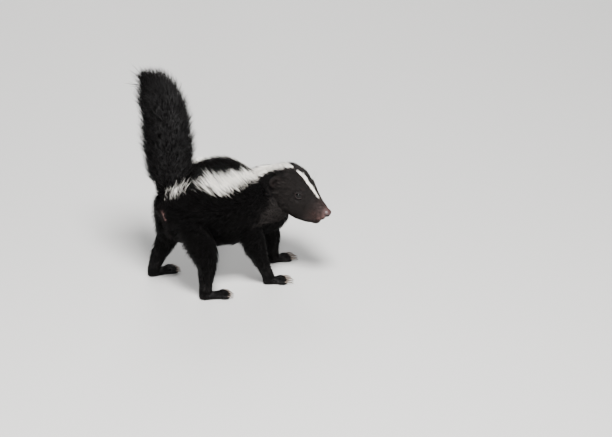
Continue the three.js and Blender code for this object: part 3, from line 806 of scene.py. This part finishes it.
# --- Coat ---------------------------------------------------------------------------------------
# Solid tufts of hair rooted in the skin: each a three-sided blade that tapers to a point and bends
# along the lie. Long and loose on back and tail, shorter on flanks and belly, short on the legs and
# close on the face and feet. The tufts carry the markings of the place they grow from.
EAR_FUR = 6.6  # hair rooted nearer than this to an ear's middle is short and stands up
tri = skin_points[skin_faces]
face_normal = np.cross(tri[:, 1] - tri[:, 0], tri[:, 2] - tri[:, 0])
face_area = np.linalg.norm(face_normal, axis=1) / 2
vertex_normal = np.zeros_like(skin_points)
for corner in range(3):
    for axis in range(3):
        vertex_normal[:, axis] += np.bincount(skin_faces[:, corner], face_normal[:, axis],
                                              len(skin_points))
vertex_normal = unit(vertex_normal)


def leg_share(points):
    """How far a point belongs to a leg, from 0 to 1, by its place in the leg's ovals and its
    height; all that is near the floor does."""
    best = np.full(len(points), 9.0)
    for rows in LEGS.values():
        best = np.minimum(best, form_place(points, rows, FORWARD, 40)[2])
    close = (1 - smooth(1.25, 1.6, best)) * (1 - smooth(34, 62, points[:, 2]))
    return np.maximum(close, 1 - smooth(18, 26, points[:, 2]))


def regions(points):
    """Shares of tail, leg and head for each point; the rest is torso and neck."""
    share = form_place(points, tail_flesh, -FORWARD)[2]
    tail = (1 - smooth(1.3, 2.2, share)) * smooth(99, 109, points[:, 2])
    return tail, leg_share(points), in_head(points)


def turned(lie, share, direction):
    """A direction mixed with another by a share from 0 to 1 for each point."""
    return lie * (1 - share[:, None]) + direction * share[:, None]


def lie_of(points, normal, part):
    """Direction the hair lies in, tangent to the skin: rumpwards and a little down on the body, up
    the tail, down the legs, from nose to nape on the head, and up and back in the white bands."""
    tail, leg, head = part
    x, y, z = points.T
    flank = np.clip(np.abs(y) / 30, 0, 1)
    lie = np.column_stack([-np.ones(len(x)), 0.12 * np.sign(y) * flank, -0.38 * flank])
    lie = turned(lie, smooth(-18, -34, x) * smooth(84, 96, z), [-0.55, 0, 1.0])
    lie = turned(lie, smooth(-44, -50, x) * smooth(96, 88, z), [-0.25, 0, -1.0])
    beside_tail = 1.3 * np.exp(-(((x + 46) / 8) ** 2 + ((z - 99) / 8) ** 2))
    lie = turned(lie, np.clip(beside_tail, 0, 1), [0.45, 0, 1.0])
    lie = turned(lie, band_flow(points), np.column_stack([
        np.full(len(x), -0.75), -0.5 * np.sign(y), np.full(len(x), 0.85)]))
    t = form_place(points, TAIL, -FORWARD)[0]
    tangent = course(TAIL, t, -FORWARD)[1] - [0.3, 0, 0] * smooth(185, 205, z)[:, None]
    lie = turned(lie, tail, 1.5 * tangent)
    lie = turned(lie, leg, turned([-0.25, 0, -1.0], smooth(9, 3, z), [1.0, 0, -0.25]))
    lie = turned(lie, head, -AHEAD - 0.15 * CROWN)
    return unit(lie - np.einsum("ij,ij->i", lie, normal)[:, None] * normal)


def tail_cap(points):
    """How far a point lies on the blunt end of the tail's flesh, where the hair points on along the
    tail."""
    past = (points - tail_line[-1]) @ np.array([-0.45, 0, 0.893])
    return smooth(-3, 0.5, past) * smooth(12, 9, np.abs(points[:, 1])) * (points[:, 2] > 195)


def length_of(points, white, part):
    """Length of the hair in mm: on the body by height and place along it, on tail and legs by
    height, on the head by place along it, mixed by the parts' shares, and longer by the tail."""
    tail, leg, head = part
    x, y, z = points.T
    along, height = head_place(points)[:2]
    body = np.interp(z, [38, 50, 75, 100, 120], [8, 9.5, 14, 18, 19])
    body = body * np.interp(x, [-54, -46, -35, 5, 20, 35, 50, 66],
                            [0.45, 0.8, 1, 1, 0.85, 0.7, 0.62, 0.55])
    body = body + 3.5 * white * smooth(12, -4, x)
    t = np.clip((z - 100) / 120, 0, 1)
    brush = np.interp(t, [0, 0.12, 0.35, 0.7, 0.85, 1], [18, 21, 23.5, 24, 21, 17])
    shank = np.interp(z, [0, 6, 14, 30, 50], [1.5, 2.4, 4.2, 8, 11])
    face = np.interp(along, [-70, -60, -50, -40, -30, -18, -10, -5],
                     [10, 9, 8, 5.5, 3.4, 2.4, 1.7, 1.3])
    face = face * (1 + 0.35 * smooth(4, -14, height) * smooth(-28, -45, along))
    face = np.where(ear_gap(points) < EAR_FUR, np.minimum(face, 2.4), face)
    out = body * (1 - tail) + brush * tail
    out = out * (1 - leg) + shank * leg
    beside_tail = np.exp(-(((x + 46) / 5) ** 2 + ((z - 97) / 5) ** 2))
    out = out + 8 * beside_tail
    out = out + (5 - 3 * smooth(-62, -53, x)) * tail_cap(points)
    return out * (1 - head) + face * head


def rise_of(points, white, part):
    """Angle in radians at which the hair leaves the skin, mixed as the length is: most at the
    tail's end, least on the muzzle."""
    tail, leg, head = part
    x, y, z = points.T
    body = 0.46 + 0.05 * smooth(98, 118, z) + 0.06 * white
    body = body + 0.5 * np.exp(-(((z - 93) / 8) ** 2)) * smooth(-42, -48, x)
    t = np.clip((z - 100) / 120, 0, 1)
    brush = np.interp(t, [0, 0.3, 0.75, 0.87, 1], [0.66, 0.76, 0.68, 0.44, 0.26])
    brush = brush + (1.25 - brush) * tail_cap(points)
    out = body * (1 - tail) + brush * tail
    out = out * (1 - leg) + (0.42 + 0.04 * smooth(15, 40, z)) * leg
    along = head_place(points)[0]
    face = np.interp(along, [-70, -50, -30, -10], [0.62, 0.6, 0.42, 0.3])
    face = np.where(ear_gap(points) < EAR_FUR, 0.75, face)
    front = smooth(-5, 5, x - np.interp(z, TAIL[:, 2], TAIL[:, 0]))
    out = out * (1 - 0.45 * tail * front * smooth(175, 200, z))
    return out * (1 - head) + face * head


def rooted(count, weight, seed):
    """Roots drawn over the skin's faces by area and weight, each at a random place in its face:
    points, normals and the generator of the draws."""
    draw = np.random.default_rng(seed)
    chance = face_area * weight
    pick = draw.choice(len(skin_faces), count, p=chance / chance.sum())
    r1, r2 = np.sqrt(draw.random(count)), draw.random(count)
    share = np.column_stack([1 - r1, r1 * (1 - r2), r1 * r2])[..., None]
    corner = skin_faces[pick]
    return (skin_points[corner] * share).sum(1), unit((vertex_normal[corner] * share).sum(1)), draw


# A tuft's corners: two three-sided rings and the tip, in the map's patch and as triangles.
PATCH_SIZE = 0.003
PATCH = np.array([[0, 0], [1, 0], [0.5, 0.1], [0, 0.5], [1, 0.5], [0.5, 0.6], [0.5, 1]]) - 0.5
BLADE = np.array([
    [0, 2, 1], [0, 1, 4], [0, 4, 3], [1, 2, 5], [1, 5, 4], [2, 0, 3], [2, 3, 5],
    [3, 4, 6], [4, 5, 6], [5, 3, 6],
])


def gathered(root, tip, cell):
    """Moves the tips of neighbouring tufts towards their common middle, so they form locks; the
    neighbours are those whose bent and shifted roots fall in one cube of the given size."""
    bent = root + 0.35 * cell * np.sin(root[:, [1, 2, 0]] * (2.1 / cell) + [0.4, 1.7, 2.9])
    keys, group = np.unique(np.floor(bent / cell).astype(int), axis=0, return_inverse=True)
    group = group.ravel()
    size = np.bincount(group)
    middle = np.column_stack([np.bincount(group, tip[:, k]) / size for k in range(3)])
    return middle[group] - tip


def tufts(name, count, weight, seed, width, unwrap, cell=0.0, gather=0.32):
    """Blades whose centre line is root + L (f(s) heading + g(s) n + sway s^2 across), with
    f = cos(rise) s + 0.12 s^2 and g = sin(rise) (s - fall s^2); a three-sided section, widest half
    way, tapers to a point. A cell size draws the tips into locks. All are one joined mesh."""
    root, normal, draw = rooted(count, weight, seed)
    part = regions(root)
    white = white_share(root)
    lie = lie_of(root, normal, part)
    guard = draw.random(count) < 0.2 + 0.12 * part[0]
    spare = 1 - 0.6 * part[2] - 0.4 * part[1]
    over = np.where(guard, draw.uniform(0.05, 0.45, count) * spare,
                    draw.uniform(-0.4, 0.02, count))
    ragged = 1 + 0.24 * draw.uniform(-1, 1, count) * tail_cap(root)
    long = length_of(root, white, part) * (1 + over) * ragged
    rise = rise_of(root, white, part) * np.where(guard, draw.uniform(0.8, 1.7, count),
                                                 draw.uniform(0.55, 1.2, count))
    side = np.cross(normal, lie)
    turn = draw.normal(0, 0.15, count)
    heading = lie * np.cos(turn)[:, None] + side * np.sin(turn)[:, None]
    across = np.cross(normal, heading)
    sway = draw.normal(0, 0.06, count)
    s = np.array([0.0, 0.5, 1.0])[None, :, None]
    fall = (0.42 - 0.22 * part[0])[:, None, None]
    climb = np.sin(rise)[:, None, None] * (s - fall * s**2)
    forward = np.cos(rise)[:, None, None] * s + 0.12 * s**2
    sunk = np.minimum(0.5, 0.06 * long)
    line = root[:, None] - (sunk[:, None] * normal)[:, None] + long[:, None, None] * (
        forward * heading[:, None] + climb * normal[:, None]
        + sway[:, None, None] * s**2 * across[:, None])
    if cell:
        pull = gather * gathered(root, line[:, 2], cell)
        strength = np.linalg.norm(pull, axis=1)
        pull = pull * np.minimum(1, 0.22 * long / np.maximum(strength, 1e-6))[:, None]
        line = line + s**2 * pull[:, None]
    wide = width * draw.uniform(0.7, 1.3, count) * np.clip(long / 9, 0.4, 1.1)
    wide = wide * (1 + 0.55 * guard * part[0])
    section = wide[:, None, None] * np.array([0.8, 0.9])[None, :, None]
    level = line[:, :2]
    ring_side = section * across[:, None] / 2
    ring_lift = section * normal[:, None] * 0.42
    verts = np.stack([level - ring_side, level + ring_side, level + ring_lift], 2)
    verts = np.concatenate([verts.reshape(count, 6, 3), line[:, 2:]], 1)
    verts[..., 2] = np.maximum(verts[..., 2], 0.15)
    corner = verts[:, BLADE]
    volume = np.einsum("ijk,ijk->", corner[:, :, 0] - verts[:, 6:], np.cross(
        corner[:, :, 1] - verts[:, 6:], corner[:, :, 2] - verts[:, 6:]))
    blade = BLADE if volume > 0 else BLADE[:, ::-1]
    triangles = (blade[None] + len(PATCH) * np.arange(count)[:, None, None]).reshape(-1, 3)
    pale = (draw.random(count) < pale_share(root)).astype(float)
    tone = np.maximum(draw.random(count) < white, pale)
    # A white hair among black ones is dark at its root. The strand value is the hair's own tone;
    # close to 1, as on face and ears and on a few hairs elsewhere, it turns black hair paler
    # brown-grey, a painted sheen.
    lone = (pale > white)[:, None]
    tone = tone[:, None] * (1 - lone * np.array([0.85, 0.85, 0.85, 0.3, 0.3, 0.3, 0]))
    strand = 0.96 * draw.random(count)
    face_sheen_chance = part[2] * smooth(-58, -44, head_place(root)[0])
    strand = np.where(face_sheen_chance > draw.random(count), 1 - 0.035 * strand, strand)
    strand = np.where(ear_gap(root) < 6.4, 1 - 0.04 * strand, strand)
    made = mesh_from(name, verts.reshape(-1, 3), triangles, {
        "white": tone.ravel(),
        "tip": np.tile([0, 0, 0, 0.5, 0.5, 0.5, 1.0], count),
        "strand": np.repeat(strand, len(PATCH)),
        "bare": np.repeat(bare_share(root), len(PATCH)),
    })
    spread = np.clip(unwrap(root)[:, None] + PATCH_SIZE * PATCH[None], 0.001, 0.999).reshape(-1, 2)
    layer = made.data.uv_layers.new(name="OFBake")
    layer.data.foreach_set("uv", spread[triangles.ravel()].astype(np.float32).ravel())
    made.data.materials.append(hair_material)
    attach(made, "root")


hair_material, tree, shader = new_material("hair", 0.42, 0.07)
tip, shade = attribute(tree, "tip", (-1700, 200)), attribute(tree, "strand", (-1700, 500))
# Each hair is darker at its root than at its tip; on black hair the paler tip is a painted sheen.
black_with_tip_sheen = mix_color(tree, tip, (0.0008, 0.0007, 0.0007, 1), (0.003, 0.0026, 0.0026, 1),
                        (-1500, 300))
# Hairs whose strand value is near 1 turn from black to a paler brown-grey: a painted sheen, most on
# face and ears.
sheen_share = add(tree, "ShaderNodeMath", (-1500, 500), operation="POWER", in_0=shade, in_1=40.0)
black = mix_color(tree, sheen_share.outputs[0], black_with_tip_sheen, (0.021, 0.018, 0.0168, 1), (-1250, 350))
cream = mix_color(tree, tip, (0.6, 0.555, 0.49, 1), (0.92, 0.89, 0.83, 1), (-1250, 50))
coat_color = mix_color(tree, attribute(tree, "white", (-1250, -150)), black, cream, (-1000, 200))
brown = add(tree, "ShaderNodeMath", (-1000, -100), operation="MULTIPLY",
            in_0=attribute(tree, "bare", (-1250, -350)), in_1=0.55)
warm = mix_color(tree, brown.outputs[0], coat_color, (0.06, 0.03, 0.024, 1), (-800, 200))
varied = add(tree, "ShaderNodeMapRange", (-800, -100), in_0=shade, in_To_Min=0.75, in_To_Max=1.25)
shaded = add(tree, "ShaderNodeVectorMath", (-600, 200), operation="SCALE", in_0=warm,
             in_Scale=varied.outputs[0])
hair_mottle = mottled(tree, shaded.outputs[0], 120.0, 900.0, 0.35, (-400, 200))
surface(tree, shader, hair_mottle.outputs["Color"])

# The share of hair that each face of the skin carries: none on the eyeballs, inside the ears, on
# the nose and on the patch under the tail.
face_part = [share[skin_faces].mean(1) for share in regions(skin_points)]
face_centre = tri.mean(1)
trunk = np.clip(1 - face_part[0] - face_part[1] - face_part[2], 0, 1)
haired = np.ones(len(skin_faces))
for hand in (-1, 1):
    centre, out, line, tall = eye_frame(hand)
    rel = face_centre - centre
    gape = np.hypot((rel @ line) / 3.1, (rel @ tall) / 2.3)
    haired *= np.where(rel @ out > 0, smooth(1.16, 1.4, gape), 1)
    haired *= smooth(4.1, 4.7, np.linalg.norm(rel, axis=1))
    cup = face_centre - EAR_AT[hand]
    out = ear_out(hand)
    in_ear = np.linalg.norm(cup, axis=1) < 5.8
    from_axis = np.linalg.norm(cup - (cup @ out)[:, None] * out, axis=1)
    haired *= 1 + 1.5 * in_ear - 1.9 * in_ear * ((cup @ out) > -0.5) * (from_axis < 4.0)
face_along = head_place(face_centre)[0]
nose_away = np.linalg.norm(face_centre - head_point(-3.6, -0.2, 0), axis=1)
haired *= smooth(5.0, 6.5, nose_away)
vent_away = (face_centre - VENT - [0, 0, 2.5]) / [9, 6.6, 10.5]
trunk *= smooth(0.8, 1.3, np.linalg.norm(vent_away, axis=1))


def body_unwrap(points, rows=TORSO, ahead=UP):
    """Map place of roots about a bent form: the angle about its line, then the share along it."""
    t, angle = form_place(points, rows, ahead)[:2]
    return np.column_stack([angle / (2 * np.pi) + 0.5, t])


def tail_unwrap(points):
    """The same about the tail's line."""
    return body_unwrap(points, TAIL, -FORWARD)


def head_unwrap(points):
    """Map place of roots about the head's axis: the angle, then the place along it."""
    along, height, right = head_place(points)
    return np.column_stack([np.arctan2(right, height + 3) / (2 * np.pi) + 0.5, (along + 76) / 80])


def leg_unwrap(points):
    """Map place of roots on the legs: one strip for each leg by the angle about it, then height."""
    column = 2 * (points[:, 0] > 12) + (points[:, 1] > 0)
    middle = np.array([[-24, -28], [-46, 28], [34, -20], [56, 16]])[column]
    angle = np.arctan2(points[:, 1] - middle[:, 1], points[:, 0] - middle[:, 0])
    return np.column_stack([(column + angle / (2 * np.pi) + 0.5) / 4, points[:, 2] / 90])


upper = smooth(70, 92, face_centre[:, 2])
left = (face_centre[:, 1] > 0).astype(float)
tail_high = smooth(140, 160, face_centre[:, 2])
skull = face_part[2] * haired
paws = smooth(14, 8, face_centre[:, 2]) * (face_centre[:, 2] > 0.6)
for name, count, weight, width, unwrap, cell in (
    ("coat_back_right", 19000, trunk * upper * (1 - left), 0.46, body_unwrap, 3.2),
    ("coat_back_left", 19000, trunk * upper * left, 0.46, body_unwrap, 3.2),
    ("coat_flank_right", 15000, trunk * (1 - upper) * (1 - left), 0.5, body_unwrap, 2.6),
    ("coat_flank_left", 15000, trunk * (1 - upper) * left, 0.5, body_unwrap, 2.6),
    ("coat_tail_lower", 14500, face_part[0] * (1 - tail_high), 0.44, tail_unwrap, 2.8),
    ("coat_tail_upper", 14500, face_part[0] * tail_high, 0.44, tail_unwrap, 2.8),
    ("coat_legs", 19500, face_part[1] * (1 + 2 * paws), 0.65, leg_unwrap, 2.0),
    ("coat_head", 19500, skull * (face_along < -22), 0.66, head_unwrap, 0),
    ("coat_muzzle", 11000, skull * (face_along >= -26), 0.5, head_unwrap, 0),
):
    seed = len(name) + count
    tufts(name, count, weight, seed, width, unwrap, cell)

# --- Whiskers -----------------------------------------------------------------------------------
# Dark, thin bristles, twelve from each whisker pad and two over each eye: slim cones that leave the
# skin sideways and forward and bend back.
whisker_forms = []
seats = [(-8.5 - 2.1 * column - 0.8 * row, -3.2 - 1.9 * row)
         for row in range(3) for column in range(4)] + [(-31, 14.0), (-33, 14.2)]
draw = np.random.default_rng(77)
for hand in (-1, 1):
    for along, height in seats:
        brow = height > 0
        probe = head_point(along, height, 10.0 * hand)
        seat = skin_points[np.linalg.norm(skin_points - probe, axis=1).argmin()]
        reach = draw.uniform(7, 11) if brow else draw.uniform(8, 16)
        go = unit(hand * RIGHT + draw.uniform(-0.1, 0.35) * AHEAD
                  + draw.uniform(-0.45, 0.1) * CROWN + 0.8 * brow * CROWN)
        t = np.linspace(0, 1, 12)[:, None]
        line = seat - 0.4 * go + reach * (t * go - 0.28 * t**2 * AHEAD)
        u, v = unit(np.cross(go, UP)), unit(np.cross(go, np.cross(go, UP)))
        ring = np.linspace(0, 2 * np.pi, 5, endpoint=False)[None, :]
        radius = 0.11 * (1 - 0.85 * t)
        rings = (line[:, None] + (radius * np.cos(ring))[..., None] * u
                 + (radius * np.sin(ring))[..., None] * v)
        whisker_forms.append(closed_tube(rings))
whiskers = mesh_from("whiskers", *joined(whisker_forms))
whisker_material, tree, shader = new_material("whisker", 0.35, 0.4)
bristle = mottled(tree, (0.012, 0.009, 0.008, 1), 220.0, 900.0, 0.7)
surface(tree, shader, bristle.outputs["Color"])
whiskers.data.materials.append(whisker_material)
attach(whiskers, "root")

# --- Floor and light ----------------------------------------------------------------------------
# A plain pale floor under soft lamps: a key high on the animal's right, a wide fill from the front,
# a rim lamp on the left that edges the black coat, and a small one that glints in the eye.
floor_mesh = bpy.data.meshes.new("floor")
corners = [(-6, -6, 0), (6, -6, 0), (6, 6, 0), (-6, 6, 0)]
floor_mesh.from_pydata(corners, [], [(0, 1, 2, 3)])
floor = bpy.data.objects.new("floor", floor_mesh)
bpy.context.scene.collection.objects.link(floor)
floor_material, tree, shader = new_material("floor", 0.8, 0.3)
shader.inputs["Base Color"].default_value = (0.5, 0.49, 0.475, 1)
floor.data.materials.append(floor_material)


def lamp(name, place, size, power):
    """A square area lamp aimed at the middle of the body; metres and watts."""
    data = bpy.data.lights.new(name, "AREA")
    data.size = size
    data.energy = power
    made = bpy.data.objects.new(name, data)
    made.location = place
    aim = np.array([0.0, 0.0, 0.09]) - np.array(place)
    made.rotation_euler = (math.acos(-aim[2] / np.linalg.norm(aim)), 0,
                           math.atan2(aim[0], -aim[1]) + math.pi)
    bpy.context.scene.collection.objects.link(made)


lamp("key", (-0.15, -0.7, 1.35), 0.36, 70)
lamp("fill", (0.9, -1.1, 0.5), 1.2, 5)
lamp("rim", (0.3, 1.1, 0.9), 0.8, 15)
lamp("eye_light", (-0.45, -1.04, 0.48), 0.16, 8)
world = bpy.data.worlds.new("studio")
world.use_nodes = True
world.node_tree.nodes["Background"].inputs["Color"].default_value = (0.9, 0.95, 1.0, 1)
world.node_tree.nodes["Background"].inputs["Strength"].default_value = 0.32
bpy.context.scene.world = world
